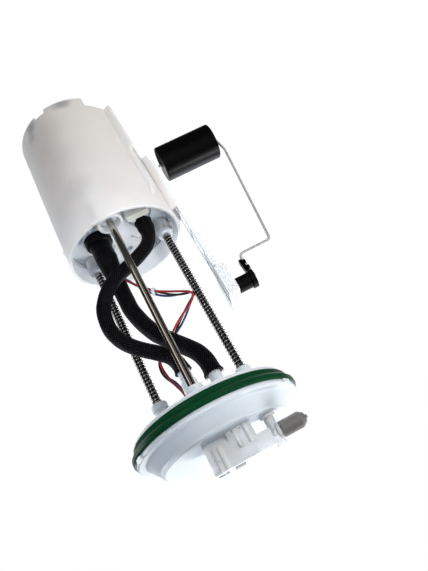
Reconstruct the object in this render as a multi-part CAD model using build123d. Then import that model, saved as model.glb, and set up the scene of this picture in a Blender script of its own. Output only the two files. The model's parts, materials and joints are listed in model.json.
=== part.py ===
from build123d import *
import os
from math import cos, pi, radians, sin, tan

# In-tank fuel pump module, standing upright as it does in the tank. All sizes are in millimetres.
# The origin is the middle of the flange's sealing face: +Z is up, out of the tank, and -Z runs
# down the module's axis to the foot of the reservoir. -Y is the side that carries the front rod.

# ---- driving dimensions ----
flange_radius = 64.0
plate_thickness = 3.4
dome_foot_radius = 57.5
dome_shoulder_radius = 51.5
dome_height = 14.5
cover_wall = 2.6
skirt_radius = 60.0
skirt_depth = 13.0
seal_lip_radius = 66.0
seal_height = 10.0

rod_circle = 40.5
rod_radius = 3.0
rod_angles = {"left": 33.0, "right": 160.0, "front": 274.0}
rod_play = 0.05
rod_foot = -252.0
rod_head = 8.0
travel = 60.0

can_radius = 52.4
can_foot_radius = 51.2
can_wall = 2.4
can_rim = -182.0
can_foot = -336.0
can_floor = -322.0
raised_foot = -323.4
sleeve_head = -186.0
sleeve_foot = -242.0
sleeve_radius = 5.6
rail_face = 56.8
rail_width = 10.0
rail_span = (-262.0, -192.0)
retainer_top = -203.0
retainer_thickness = 3.0

post_radius = 5.0
socket_foot = {"left": -46.0, "right": -37.0, "front": -22.0}

pump_x, pump_y = 20.0, -8.0
pump_radius = 19.5
pump_top = -226.0
pump_foot = -300.0
shaft_radius = 2.5

regulator_x, regulator_y = -23.0, -12.0
regulator_radius = 12.0

supply_post, supply_post_foot = (-16.0, -5.0), -38.0
return_post, return_post_foot = (4.0, -18.0), -45.0
lead_exit = (10.4, 2.4)
lead_start = (28.0, 7.0)
supply_hose_diameter = 14.6
return_hose_diameter = 12.4
wire_diameter = 2.0

fitting_y = -26.0
fitting_z = 25.0
nipple_z = 28.0
nipple_radius = 3.95
nipple_end = -49.6
cap_radius = 5.8

pivot = (-76.0, 5.0, -100.0)
float_centre = (-111.0, 64.5, -314.5)
float_radius = 20.2
float_length = 66.0
float_wire_radius = 1.3
wire_play = 0.06
crank_reach = 34.0
crank_step = 32.0
case_foot = -120.0
wiper_reach = 15.5

spring_turns = 13
spring_radius = 3.9
spring_wire = 1.0


# ---- shared helpers ----
def rod_place(name):
    angle = radians(rod_angles[name])
    return rod_circle * cos(angle), rod_circle * sin(angle)


def upright(x, y, low, high, radius, bore=0.0):
    # a round bar or tube parallel to the module's axis
    body = Pos(x, y, low) * Cylinder(radius, high - low, align=(Align.CENTER, Align.CENTER, Align.MIN))
    if bore:
        body -= Pos(x, y, low - 1) * Cylinder(bore, high - low + 2, align=(Align.CENTER, Align.CENTER, Align.MIN))
    return body


def along_x(x_low, x_high, y, z, radius, bore=0.0):
    # a round bar or tube parallel to X
    body = Pos((x_low + x_high) / 2, y, z) * Rot(0, 90, 0) * Cylinder(radius, x_high - x_low)
    if bore:
        body -= Pos((x_low + x_high) / 2, y, z) * Rot(0, 90, 0) * Cylinder(bore, x_high - x_low + 2)
    return body


def block(x, y, z):
    # a box given by its limits along each axis
    return Pos((x[0] + x[1]) / 2, (y[0] + y[1]) / 2, (z[0] + z[1]) / 2) * Box(
        abs(x[1] - x[0]), abs(y[1] - y[0]), abs(z[1] - z[0]))


def turned(points, x=0.0, y=0.0):
    # a solid turned about an upright axis from its half section (radius, height)
    section = Plane.XZ * make_face(Polyline(*points, close=True))
    return Pos(x, y, 0) * revolve(section, Axis.Z)


def round_route(points, shares=0.45):
    # straight runs joined by arcs as large as the two runs at each corner allow
    corners = [Vector(*p) for p in points]
    radii = []
    for before, here, after in zip(corners, corners[1:], corners[2:]):
        arriving, leaving = here - before, after - here
        half_turn = radians(arriving.get_angle(leaving)) / 2
        radii.append(shares * min(arriving.length, leaving.length) / tan(half_turn))
    return FilletPolyline(*corners, radius=radii), radii


def bent_bar(points, diameter, shares=0.45):
    path, radii = round_route(points, shares)
    section = Plane(origin=path @ 0, z_dir=path % 0) * Circle(diameter / 2)
    bar = sweep(section, path=path)
    wanted = pi * diameter ** 2 / 4 * path.length
    print("  radii", [round(r, 1) for r in radii], "length", round(path.length, 1),
          "volume / wanted", round(bar.volume / wanted, 4))
    return bar


def wound_wire(x, y, low, high, radius, wire, turns):
    # helical spring of square wire
    path = Pos(x, y, low + wire / 2) * Helix(
        pitch=(high - low - wire) / turns, height=high - low - wire, radius=radius)
    section = Plane(origin=path @ 0, z_dir=path % 0) * Rectangle(wire, wire)
    return sweep(section, path=path, is_frenet=True)


# ---- flange group ----
def flange_cover():
    # thin domed cover: flat sealing plate, raised dome open below, and a skirt that enters the tank
    dome_top = dome_height + 1.5
    outer = [(0, dome_top), (30, dome_top - 0.5), (dome_shoulder_radius - 3, dome_height + 0.3),
             (dome_shoulder_radius - 0.6, dome_height - 0.7), (dome_shoulder_radius, dome_height - 2.4),
             (dome_foot_radius, plate_thickness + 0.8), (dome_foot_radius + 1, plate_thickness),
             (flange_radius - 1, plate_thickness), (flange_radius, plate_thickness - 1), (flange_radius, 0)]
    inner = [(skirt_radius, 0), (skirt_radius, -skirt_depth), (skirt_radius - cover_wall, -skirt_depth),
             (skirt_radius - cover_wall, 0), (dome_foot_radius - cover_wall, 1),
             (dome_shoulder_radius - cover_wall, dome_height - cover_wall - 1), (0, dome_top - cover_wall)]
    cover = turned(outer + inner)
    for index in range(12):
        gusset = block((dome_shoulder_radius - 2, skirt_radius - 1), (-0.8, 0.8), (-skirt_depth + 4, 3))
        cover += Rot(0, 0, index * 30 + 12) * gusset
    for name in rod_angles:
        x, y = rod_place(name)
        cover += upright(x, y, -20 if name != "front" else socket_foot["front"], dome_height - 1, 7.0)
        cover -= upright(x, y, -30, rod_head, rod_radius)
    for place, foot in ((supply_post, supply_post_foot), (return_post, return_post_foot)):
        cover += upright(*place, foot, dome_height - 1, post_radius)
        cover += upright(*place, foot + 9, dome_height - 1, post_radius + 1.2)
        cover -= upright(*place, foot - 1, 10, 2.7)
    cover += upright(*lead_exit, 0, dome_height - 1, 7.4)
    cover -= upright(*lead_exit, -30, 10, 5.2)
    # locating lug on the plate's edge and two shallow keys
    for angle in (90, 210, 330):
        key = block((flange_radius - 4, flange_radius + 1.6), (-4, 4), (0.4, plate_thickness - 0.4))
        cover += Rot(0, 0, angle) * key
    return cover


def seal_ring():
    # L-shaped tank seal: a wide lip below the plate and a narrower skirt round the spigot
    inside = skirt_radius + 0.02
    return turned([(inside, 0), (seal_lip_radius - 0.8, 0), (seal_lip_radius, -0.9), (seal_lip_radius, -3.6),
                   (seal_lip_radius - 1.2, -4.8), (63.2, -6.2), (62.6, -seal_height + 0.6),
                   (62.0, -seal_height), (inside, -seal_height)])


def rod_sockets():
    # stepped bushes pressed on the rods below the cover, where the springs bear
    sockets = []
    for name in ("left", "right"):
        x, y = rod_place(name)
        foot = socket_foot[name]
        points = [(rod_radius, -20), (8.0, -20), (8.0, -24), (6.2, -24.6), (6.0, foot + 6), (6.9, foot + 5.6),
                  (6.9, foot + 1), (6.3, foot), (rod_radius, foot)]
        sockets.append(turned(points, x, y))
    return sockets[0] + sockets[1]


def guide_rod(name):
    # ground steel rod with chamfered ends and a groove for its clip
    x, y = rod_place(name)
    groove = sleeve_foot - 0.05
    points = [(0, rod_head), (rod_radius, rod_head), (rod_radius, groove), (rod_radius - 0.5, groove),
              (rod_radius - 0.5, groove - 1.2), (rod_radius, groove - 1.2), (rod_radius, rod_foot + 0.8),
              (rod_radius - 0.8, rod_foot), (0, rod_foot)]
    return turned(points, x, y)


def rod_clips():
    # open retaining rings that stop the rods at the foot of the sleeves
    clips = []
    groove = sleeve_foot - 0.05
    for name in rod_angles:
        x, y = rod_place(name)
        ring = upright(x, y, groove - 1.1, groove - 0.1, 4.7, rod_radius - 0.5)
        gap = block((0, 6), (-1.6, 1.6), (groove - 2, groove + 1))
        clips.append(ring - Pos(x, y, 0) * Rot(0, 0, rod_angles[name] + 180) * gap)
    return clips[0] + clips[1] + clips[2]


def spring(name):
    x, y = rod_place(name)
    return wound_wire(x, y, sleeve_head, socket_foot[name], spring_radius, spring_wire, spring_turns)


# ---- fittings on top of the cover ----
def connector_shroud():
    # plug socket that opens to +X, with a flat web that ties it to the outlet pipe
    depth, height, wall = 22.0, 21.5, 1.8
    back, mouth = -18.0, 15.4
    outline = Plane.YZ * RectangleRounded(depth, height, 5)
    sleeve = Pos(back, fitting_y, fitting_z) * extrude(outline, mouth - back)
    hollow = Plane.YZ * RectangleRounded(depth - 2 * wall, height - 2 * wall, 3.4)
    sleeve -= Pos(back + 12, fitting_y, fitting_z) * extrude(hollow, mouth - back)
    web_y = (fitting_y - depth / 2 - 1.6, fitting_y - depth / 2 + 0.6)
    web = block((-29.4, 10.4), web_y, (dome_height, fitting_z + height / 2 + 0.8))
    web -= block((-29.4, -20.2), (-60, 0), (dome_height - 4, 25.4))
    # the web stops short above the socket's rounded corner, and has soft stiffening columns
    web -= block((-2.0, 12), (-60, 0), (dome_height - 4, 20.6))
    web += upright(5.4, web_y[0] + 1.4, 20.6, fitting_z + height / 2 + 0.8, 2.6)
    for x in (-15.6, -8.2):
        web += upright(x, web_y[0] + 1.0, dome_height, 28.0, 2.0)
    bridge = block((-29.4, back + 1), (web_y[0], fitting_y + 5), (fitting_z + 4, fitting_z + height / 2 + 0.8))
    shroud = sleeve + web + bridge
    for x in (-12, -2):
        shroud += block((x, x + 1.6), (web_y[0] + 1, fitting_y + depth / 2), (dome_height + 0.2, fitting_z - 8))
    # keying ribs and the latch nose on the outer faces
    top = fitting_z + height / 2
    shroud += block((-6, 1.5), (fitting_y - 4, fitting_y + 4), (top - 0.5, top + 1.9))
    shroud += block((6, 8.4), (fitting_y - 2.2, fitting_y + 2.2), (top - 0.5, top + 1.5))
    shroud -= block((9, 14), (fitting_y - 3, fitting_y + 3), (top - 3, top + 2))
    shroud += block((back, mouth - 5), (fitting_y - 9, fitting_y + 9), (dome_height - 0.2, fitting_z - height / 2 + 1))
    return shroud - dome_envelope() - terminal_pins() - outlet_elbow()


def dome_envelope():
    # the space of the cover's outer skin, used to seat the fittings on the dome
    dome_top = dome_height + 1.5
    return turned([(0, dome_top), (30, dome_top - 0.5), (dome_shoulder_radius - 3, dome_height + 0.3),
                   (dome_shoulder_radius - 0.6, dome_height - 0.7), (dome_shoulder_radius, dome_height - 2.4),
                   (dome_foot_radius, plate_thickness + 0.8), (dome_foot_radius, -40), (0, -40)])


def terminal_pins():
    pins = []
    for y in (-6.0, -2.0, 2.0, 6.0):
        blade = block((-10, 10), (fitting_y + y - 0.4, fitting_y + y + 0.4), (fitting_z - 1.4, fitting_z + 1.4))
        pins.append(blade)
    return pins[0] + pins[1] + pins[2] + pins[3]


def outlet_elbow():
    # pipe that rises from the dome and turns to a quick-connect nipple along -X
    pipe_x, pipe_radius, bore = -33.2, 3.8, 2.6
    low = dome_height - 3
    elbow = upright(pipe_x, fitting_y, low, nipple_z, pipe_radius)
    elbow += along_x(nipple_end, pipe_x, fitting_y, nipple_z, nipple_radius)
    elbow += Pos(pipe_x, fitting_y, nipple_z) * Sphere(4.6)
    elbow += along_x(pipe_x - 3.2, pipe_x - 1, fitting_y, nipple_z, 6.0)
    elbow += along_x(nipple_end + 4, nipple_end + 5.6, fitting_y, nipple_z, nipple_radius + 0.7)
    elbow += block((pipe_x - 3.2, pipe_x + 3.4), (fitting_y - 4, fitting_y + 4), (nipple_z + 2, nipple_z + 9.2))
    elbow += upright(pipe_x, fitting_y, low, dome_height + 2.6, 5.4)
    elbow -= along_x(nipple_end - 1, pipe_x, fitting_y, nipple_z, bore)
    elbow -= upright(pipe_x, fitting_y, low - 2, nipple_z, bore)
    return elbow - dome_envelope()


def outlet_cap():
    # soft transit cap over the nipple, with a blunt cone and a pull nub
    mouth = nipple_end + 12.3
    bore = nipple_radius + 0.9
    body = Plane.XZ * make_face(Polyline((bore, 0), (cap_radius, 0), (cap_radius, 14.5), (cap_radius - 2.4, 18),
                                         (1.6, 18.2), (1.3, 19.6), (0, 19.6), (0, 15.4), (bore, 15.4), close=True))
    return Pos(mouth, fitting_y, nipple_z) * Rot(0, -90, 0) * revolve(body, Axis.Z)


# ---- reservoir group ----
def reservoir_can():
    inner_top, inner_low = can_radius - can_wall, can_foot_radius - can_wall
    can = turned([(can_foot_radius - 0.6, can_foot), (can_foot_radius, can_foot + 0.8), (can_radius, can_rim - 3),
                  (can_radius + 0.4, can_rim - 2.6), (can_radius + 0.4, can_rim - 0.4), (can_radius + 0.3, can_rim),
                  (inner_top, can_rim), (inner_low, can_floor + 3), (0, can_floor + 3), (0, can_floor),
                  (inner_low, can_floor), (inner_low, can_foot)])
    # webs that hold the guide sleeves to the wall
    for name, angle in rod_angles.items():
        x, y = rod_place(name)
        web = block((rod_circle, can_radius - 1.5), (-2.2, 2.2), (sleeve_foot, sleeve_head - 6))
        can += Rot(0, 0, angle) * web
        can += upright(x, y, sleeve_foot, sleeve_head - 6, sleeve_radius + 1.8)
        can -= upright(x, y, sleeve_foot - 1, sleeve_head + 1, sleeve_radius)
    # half-round pocket round the front rod at the rim
    x, y = rod_place("front")
    pocket = upright(x, y, sleeve_foot + 10, can_rim, sleeve_radius + 5.4, sleeve_radius + 3.2)
    can += pocket & upright(0, 0, sleeve_foot, can_rim, can_radius - 1)
    # the foot ring stands higher on the sender's side, and has fuel notches elsewhere
    sector = Plane.XY.offset(can_foot - 1) * make_face(Polyline(
        (0, 0), *[(90 * cos(radians(a)), 90 * sin(radians(a))) for a in (240, 190, 140)], close=True))
    can -= extrude(sector, raised_foot - can_foot + 1)
    for angle in (20, 110, 290):
        notch = block((can_foot_radius - 8, can_foot_radius + 4), (-6, 6), (can_foot - 1, can_foot + 5))
        can -= Rot(0, 0, angle) * notch
    # fin with a stepped edge that locates the module in the tank
    fin = Plane.XZ.offset(1.6) * make_face(Polyline(
        (can_foot_radius - 2, raised_foot), (can_radius + 6, raised_foot + 2), (can_radius + 6.4, -262),
        (can_radius + 3, -258), (can_radius + 3.4, -206), (can_radius - 1.5, -199), close=True))
    can += Rot(0, 0, 216) * extrude(fin, -3.2)
    can -= upright(-26, 16, can_floor - 1, can_floor + 4, 2.1)
    for index in range(6):
        port_angle = radians(60 * index)
        can -= upright(-26 + 5 * cos(port_angle), 16 + 5 * sin(port_angle), can_floor - 1, can_floor + 4, 1.2)
    # dovetail rail for the level sender, with the stop ledge at its foot
    for side in (1, -1):
        can += block((-can_radius + 1.5, -rail_face), (side * rail_width, side * (rail_width + 2.6)), rail_span)
        can += block((-rail_face + 1.4, -rail_face), (side * (rail_width - 2.4), side * (rail_width + 2.6)), rail_span)
    can += block((-can_radius + 1.5, -rail_face), (-rail_width, rail_width), (rail_span[0], rail_span[0] + 4))
    # drain channel moulded down the back
    channel = block((can_radius - 1.5, can_radius + 2.6), (-8, 8), (can_foot + 14, can_rim - 14))
    channel = chamfer(channel.edges().filter_by(Axis.Z).sort_by(Axis.X)[-2:], 2.4)
    can += Rot(0, 0, 70) * channel
    # latch windows on both sides
    for side in (1, -1):
        can -= block((side * (can_radius - 5), side * (can_radius + 3)), (-6, 6), (retainer_top - 9, retainer_top + 6))
    return can


def guide_sleeves():
    # acetal bushes that the rods run in; their heads are the spring seats
    sleeves = []
    for name in rod_angles:
        x, y = rod_place(name)
        bore = rod_radius + rod_play
        points = [(bore, sleeve_foot), (sleeve_radius, sleeve_foot), (sleeve_radius, sleeve_head - 6),
                  (sleeve_radius + 1.8, sleeve_head - 6), (sleeve_radius + 1.8, sleeve_head - 1.2),
                  (sleeve_radius + 0.8, sleeve_head), (bore, sleeve_head)]
        sleeves.append(turned(points, x, y))
    return sleeves[0] + sleeves[1] + sleeves[2]


def pump_retainer():
    # plate across the can that clips into the side windows and locates the pump and regulator
    rim = can_radius - can_wall - 0.4
    low = retainer_top - retainer_thickness
    plate = upright(0, 0, low, retainer_top, rim)
    plate += upright(0, 0, low - 6, retainer_top + 3, rim, rim - 1.8)
    plate += upright(pump_x, pump_y, low - 5, retainer_top + 4, 14.8)
    plate += upright(regulator_x, regulator_y, low - 10, retainer_top + 2, regulator_radius + 2.2)
    for angle in (60, 125, 200, 310, 345):
        plate += Rot(0, 0, angle) * block((16, rim - 1), (-0.9, 0.9), (retainer_top - 1, retainer_top + 2.4))
    for name, angle in rod_angles.items():
        x, y = rod_place(name)
        gap = 5.8 if name == "front" else 2.1
        plate -= upright(x, y, low - 20, retainer_top + 10, sleeve_radius + gap)
        plate -= Rot(0, 0, angle) * block((rod_circle, can_radius), (-2.6, 2.6), (low - 20, retainer_top + 10))
    for side in (1, -1):
        plate += block((side * (rim - 2), side * (can_radius + 0.4)), (-5, 5), (retainer_top - 4, retainer_top + 1))
    plate -= upright(*lead_start, low - 20, retainer_top + 10, 4.2)
    plate -= upright(pump_x, pump_y, low - 20, retainer_top + 10, 12.7)
    plate -= upright(regulator_x, regulator_y, low - 20, retainer_top + 10, regulator_radius)
    for angle in (95, 128, 268):
        vent = radians(angle)
        plate -= upright(30 * cos(vent), 30 * sin(vent), low - 20, retainer_top + 10, 3.4)
    return plate


def pump_shell():
    # rolled steel tube with both edges turned in over the end bells
    inner = pump_radius - 1.2
    return turned([(inner - 1.8, pump_foot), (pump_radius - 0.8, pump_foot), (pump_radius, pump_foot + 0.8),
                   (pump_radius, pump_top - 0.8), (pump_radius - 0.8, pump_top), (inner - 1.8, pump_top),
                   (inner - 1.8, pump_top - 1.2), (inner, pump_top - 1.2), (inner, pump_foot + 1.2),
                   (inner - 1.8, pump_foot + 1.2)], pump_x, pump_y)


def pump_end_bell():
    # upper end bell with the outlet tail; it carries the upper bush and the brushes
    inner = pump_radius - 1.2
    bell = turned([(0, pump_top - 1.2), (inner - 1.8, pump_top - 1.2), (inner - 1.8, pump_top + 4), (8.4, pump_top + 5),
                   (8.4, pump_top + 14), (5.4, pump_top + 14), (5.4, pump_top + 30), (4.8, pump_top + 30.6),
                   (3.6, pump_top + 30.6), (3.6, pump_top + 4), (0, pump_top + 4)], pump_x, pump_y)
    bell += upright(pump_x, pump_y, pump_top - 9.2, pump_top - 1.2, inner - 0.1, 12.5)
    bell += upright(pump_x, pump_y, pump_top - 6.2, pump_top - 1.2, 6.4, 4.4)
    bell -= upright(pump_x, pump_y, pump_top - 3, pump_top + 6, 1.6)
    return bell


def pump_inlet_bell():
    # lower end bell with the impeller chamber and the inlet snout
    inner = pump_radius - 1.2
    bell = turned([(5.0, pump_foot - 9), (6.2, pump_foot - 9), (6.2, pump_foot - 2), (inner - 1.8, pump_foot - 1.4),
                   (inner - 1.8, pump_foot + 1.2), (inner - 0.1, pump_foot + 1.2), (inner - 0.1, pump_foot + 14),
                   (14.5, pump_foot + 14), (14.5, pump_foot + 9.2), (4.4, pump_foot + 9.2), (4.4, pump_foot + 8.6),
                   (16.6, pump_foot + 8.6), (16.6, pump_foot + 4.6), (5.0, pump_foot + 4.6)], pump_x, pump_y)
    return bell


def pump_magnets():
    # two arc magnets bonded inside the shell
    ring = upright(pump_x, pump_y, pump_foot + 16, pump_top - 12, pump_radius - 1.3, pump_radius - 4.6)
    gap = block((-30, 30), (-4.5, 4.5), (pump_foot, pump_top))
    return ring - Pos(pump_x, pump_y, 0) * gap


def pump_bushes():
    upper = upright(pump_x, pump_y, pump_top - 6.1, pump_top - 1.3, 4.35, shaft_radius + 0.05)
    lower = upright(pump_x, pump_y, pump_foot + 9.3, pump_foot + 13.8, 14.4, shaft_radius + 0.05)
    return upper + lower


def brush_pair():
    # carbon brushes that bear on the commutator's rim
    brushes = []
    for side in (1, -1):
        brushes.append(block((pump_x + side * 8.9, pump_x + side * 12.2), (pump_y - 2, pump_y + 2),
                             (pump_top - 15.5, pump_top - 9.4)))
    return brushes[0] + brushes[1]


def motor_shaft():
    return upright(pump_x, pump_y, pump_foot + 5.2, pump_top - 2.2, shaft_radius)


def armature():
    # laminated rotor with eight winding slots
    low, high, radius = pump_foot + 17, pump_top - 20, 14.2
    core = upright(pump_x, pump_y, low, high, radius, shaft_radius)
    for index in range(8):
        slot = block((8.6, 13.2), (-1.9, 1.9), (low - 1, high + 1))
        mouth = block((13.0, radius + 1), (-0.7, 0.7), (low - 1, high + 1))
        core -= Pos(pump_x, pump_y, 0) * Rot(0, 0, index * 45) * (slot + mouth)
    return core


def commutator():
    barrel = upright(pump_x, pump_y, pump_top - 17, pump_top - 8, 8.8, shaft_radius)
    for index in range(8):
        barrel -= Pos(pump_x, pump_y, 0) * Rot(0, 0, index * 45 + 22.5) * block(
            (7.6, 10), (-0.3, 0.3), (pump_top - 18, pump_top - 7))
    return barrel


def impeller():
    # regenerative disc with short blades round its rim
    low, high, radius = pump_foot + 5.0, pump_foot + 8.2, 16.2
    disc = upright(pump_x, pump_y, low, high, radius, shaft_radius)
    for index in range(18):
        pocket = block((13.4, 15.4), (-1.0, 1.0), (low - 1, high + 1))
        disc -= Pos(pump_x, pump_y, 0) * Rot(0, 0, index * 20) * pocket
    return disc


def check_poppet():
    # outlet check valve: a stem with a rubber-faced head that rests on the bell's seat
    seat = pump_top + 4
    return turned([(0, seat), (2.9, seat), (2.9, seat + 1.6), (1.2, seat + 3.2), (1.2, seat + 11), (0, seat + 11)],
                  pump_x, pump_y)


def check_spring():
    seat = pump_top + 4
    return wound_wire(pump_x, pump_y, seat + 3.4, seat + 16.4, 2.3, 0.7, 4)


def check_spring_seat():
    # small cross-piece pressed into the outlet tail above the check spring
    seat = pump_top + 20.4
    ring = upright(pump_x, pump_y, seat, seat + 2, 3.6, 2.7)
    bar = block((pump_x - 3, pump_x + 3), (pump_y - 0.8, pump_y + 0.8), (seat, seat + 2))
    return ring + bar


def pump_isolator():
    # ribbed rubber sleeve between the pump and the reservoir's cradle
    low, high = pump_foot + 8, pump_foot + 38
    sleeve = upright(pump_x, pump_y, low, high, pump_radius + 1.6, pump_radius)
    for index in range(4):
        sleeve += upright(pump_x, pump_y, low + 3 + 7 * index, low + 5 + 7 * index, pump_radius + 2.5, pump_radius + 1)
    return sleeve


def pump_cradle():
    # ring on three legs that holds the isolated pump off the can's floor
    low = can_floor + 3
    inner = pump_radius + 2.5
    cradle = upright(pump_x, pump_y, pump_foot + 6, pump_foot + 34, inner + 1.8, inner)
    cradle += upright(pump_x, pump_y, pump_foot + 6, pump_foot + 8, inner + 1, pump_radius + 0.2)
    for angle in (35, 155, 275):
        leg = block((inner + 0.4, inner + 3.4), (-4, 4), (low, pump_foot + 34))
        cradle += Pos(pump_x, pump_y, 0) * Rot(0, 0, angle) * leg
    return cradle


def inlet_strainer():
    # flat woven bag under the pump with a moulded collar on the inlet snout
    low = can_floor + 3.2
    bag = Pos(pump_x, pump_y, low) * extrude(RectangleRounded(34, 26, 8), 6)
    bag = fillet(bag.edges().group_by(Axis.Z)[-1] + bag.edges().group_by(Axis.Z)[0], 2.4)
    bag += upright(pump_x, pump_y, low + 4, pump_foot - 3, 9.2)
    bag -= upright(pump_x, pump_y, pump_foot - 9.05, pump_foot, 6.25)
    return bag


def umbrella_valve():
    # rubber non-return valve over the floor's inlet ports
    top = can_floor + 3
    return turned([(0, top + 3.4), (2.4, top + 3.2), (8.4, top + 1.0), (8.6, top + 0.05), (2.0, top + 0.05),
                   (2.0, can_floor - 0.3), (3.0, can_floor - 0.5), (3.0, can_floor - 1.3), (1.2, can_floor - 2.2),
                   (0, can_floor - 2.2)], -26, 16)


def jet_pump():
    # suction jet that fills the reservoir from the tank
    y, z = 34.0, can_floor + 9.5
    body = along_x(-16, 22, y, z, 4.6)
    body += along_x(-20, -16, y, z, 6.2)
    body += upright(-14, y, can_floor + 3, z, 3.4)
    body += upright(16, y, z, z + 16, 3.2)
    body -= along_x(-21, 14, y, z, 2.2)
    body -= upright(16, y, z + 1, z + 17, 1.8)
    return body


def regulator_body():
    # deep-drawn pressure regulator with a rolled waist
    r, top = regulator_radius - 0.15, retainer_top - 1
    return turned([(0, top - 34), (7.5, top - 34), (8.2, top - 33), (8.2, top - 16), (r, top - 14.5), (r, top - 9),
                   (r - 0.8, top - 8.4), (r - 0.8, top - 6.8), (r, top - 6.2), (r, top), (r - 1.4, top + 1.4),
                   (6.2, top + 1.4), (6.2, top), (0, top)], regulator_x, regulator_y)


def regulator_tail():
    # return tail on the regulator, which the return hose is pushed on to
    foot, top, bore = retainer_top - 1, return_route[0][2], 2.6
    return turned([(bore, foot), (5.8, foot), (5.8, foot + 2.6), (4.4, foot + 3), (4.4, top - 5), (5.3, top - 4.6),
                   (4.0, top), (bore, top)], regulator_x, regulator_y)


def regulator_clip():
    # cream moulded clip that keeps the regulator down in its cup
    low = retainer_top + 0.02
    clip = block((-31, -11), (-33, -26.4), (low, low + 16))
    clip += block((-29, -16), (-26.5, -21.5), (low + 3, low + 6))
    clip -= block((-27, -15), (-34, -31), (low + 3, low + 12))
    return clip


def supply_coupling():
    # black moulded coupling over the pump's outlet tail, with a broad collar and a hose stub
    foot, top = pump_top + 16, supply_route[0][2]
    tail_top = pump_top + 30.6
    x, y = pump_x, pump_y
    coupling = turned([(5.42, foot), (9.0, foot), (9.6, foot + 0.6), (9.6, foot + 5), (12.2, foot + 6.2),
                       (12.2, foot + 17), (11.2, foot + 18.4), (9.9, foot + 19), (9.3, top - 8), (9.5, top - 7),
                       (9.5, top), (6.0, top), (4.0, top), (4.0, tail_top + 0.1), (5.42, tail_top + 0.1)], x, y)
    return coupling


# ---- hoses and wires: each route is a list of points, low end first ----
supply_route = [(20.0, -8.0, -176.0), (20.0, -8.0, -163.0), (20.5, -4.0, -141.0), (20.0, 0.0, -118.0),
                (12.0, 1.0, -95.0), (0.0, 0.0, -78.0), (-11.0, -3.0, -63.5), (-16.0, -5.0, -50.0),
                (-16.0, -5.0, -38.0)]
return_route = [(-23.0, -12.0, -185.0), (-23.0, -12.0, -176.0), (-15.0, -14.5, -163.0), (3.0, -18.6, -152.5),
                (23.0, -21.0, -144.0), (38.0, -21.5, -127.5), (42.0, -21.5, -105.0), (34.0, -21.0, -84.0),
                (17.5, -19.5, -70.0), (4.0, -18.0, -57.0), (4.0, -18.0, -45.0)]
lead_route = [(28.0, 7.0, -212.5), (28.0, 7.0, -198.0), (25.0, 12.5, -181.0), (14.0, 13.6, -162.0),
              (2.0, 12.4, -142.5), (-10.0, 10.6, -129.5), (-23.0, 8.2, -120.8), (-35.5, 6.0, -115.4),
              (-26.5, 7.4, -107.4), (-12.0, 10.0, -97.5), (4.0, 12.8, -85.5), (19.0, 13.6, -76.5), (19.5, 10.0, -62.5),
              (14.0, 4.2, -48.0), (10.4, 2.4, -35.0), (10.4, 2.4, -22.0)]


def supply_hose():
    return bent_bar(supply_route, supply_hose_diameter)


def return_hose():
    return bent_bar(return_route, return_hose_diameter)


def lead_wire(offset):
    # the leads run side by side, spread along Y
    return bent_bar([(x, y + offset, z) for x, y, z in lead_route], wire_diameter)


def wire_tie():
    # nylon band that gathers the three leads where they cross to the right-hand rod
    before, after = Vector(*lead_route[4]), Vector(*lead_route[5])
    place = Plane(origin=(before + after) / 2, x_dir=(0, 1, 0), z_dir=(after - before).normalized())
    band = extrude(place * RectangleRounded(9.4, 4.6, 1.6), 1.3, both=True)
    band -= extrude(place * RectangleRounded(7.2, 2.5, 0.9), 3, both=True)
    return band


def lead_grommet():
    # sealed pass-through under the cover where the leads leave for the socket
    return upright(*lead_exit, -22, 10, 5.2)


def pump_terminals():
    # white plug on the pump's end bell, where the leads start
    x, y = lead_start
    return block((x - 4, x + 4), (y - 3.6, y + 3.6), (pump_top + 5.1, lead_route[0][2]))


# ---- level sender ----
arm_reach = Vector(0, float_centre[1] - pivot[1], float_centre[2] - pivot[2])
arm_direction = arm_reach.normalized()


def on_arm(x, distance):
    # a point at this distance from the pivot along the arm, in the plane X = x
    spot = Vector(x, pivot[1], pivot[2]) + arm_direction * distance
    return (x, spot.Y, spot.Z)


def sender_bracket():
    # tall bracket that slides down between the can's rails and carries the sender above the rim
    x_back, x_front = -rail_face + 4.5, -rail_face - 0.3
    bracket = block((x_back, -rail_face + 1.7), (-rail_width + 0.3, rail_width - 0.3), (-256, -222))
    bracket += block((x_back, x_front), (-rail_width + 2.7, rail_width - 2.7), (-256, -222))
    bracket += block((x_front, x_front - 2.4), (-11, 11), (-256, case_foot))
    for side in (1, -1):
        bracket += block((x_front, x_front - 4.4), (side * 9.2, side * 11), (-256, case_foot))
    for low, high in ((-216, -196), (-190, -168), (-162, -140)):
        bracket -= block((x_back, x_front - 3), (-6.6, 6.6), (low, high))
    bracket -= block((x_back + 1, x_front + 0.2), (-5, 5), (-260, -220))
    return bracket


def sender_housing():
    # flat case at the head of the bracket; its open side carries the card
    x_back, x_front = -rail_face - 0.3, -rail_face - 10.0
    y_low, y_high = -11, pivot[1] + wiper_reach + 4.5
    z_low, z_high = case_foot, pivot[2] + 10
    case = block((x_front, x_back), (y_low, y_high), (z_low, z_high))
    case = fillet(case.edges().filter_by(Axis.X), 4)
    case -= block((x_front - 1, x_back - 2.2), (y_low + 2, y_high - 2), (z_low + 2, z_high - 2))
    case += along_x(x_back - 6, x_back - 2, pivot[1], pivot[2], 4.2)
    case -= along_x(x_back - 7, x_back - 1.4, pivot[1], pivot[2], float_wire_radius + wire_play)
    return case


def resistor_card():
    # ceramic card with its printed track, a quarter ring round the pivot
    x_back = -rail_face - 2.6
    quarter = block((x_back - 3, x_back + 1), (pivot[1] - 3, pivot[1] + 20), (pivot[2] - 20, pivot[2] + 3))
    card = along_x(x_back - 1.0, x_back, pivot[1], pivot[2], wiper_reach + 1.4, 8.0)
    track = along_x(x_back - 1.3, x_back - 0.9, pivot[1], pivot[2], wiper_reach - 0.4, wiper_reach - 4)
    return (card + track) & quarter


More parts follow.
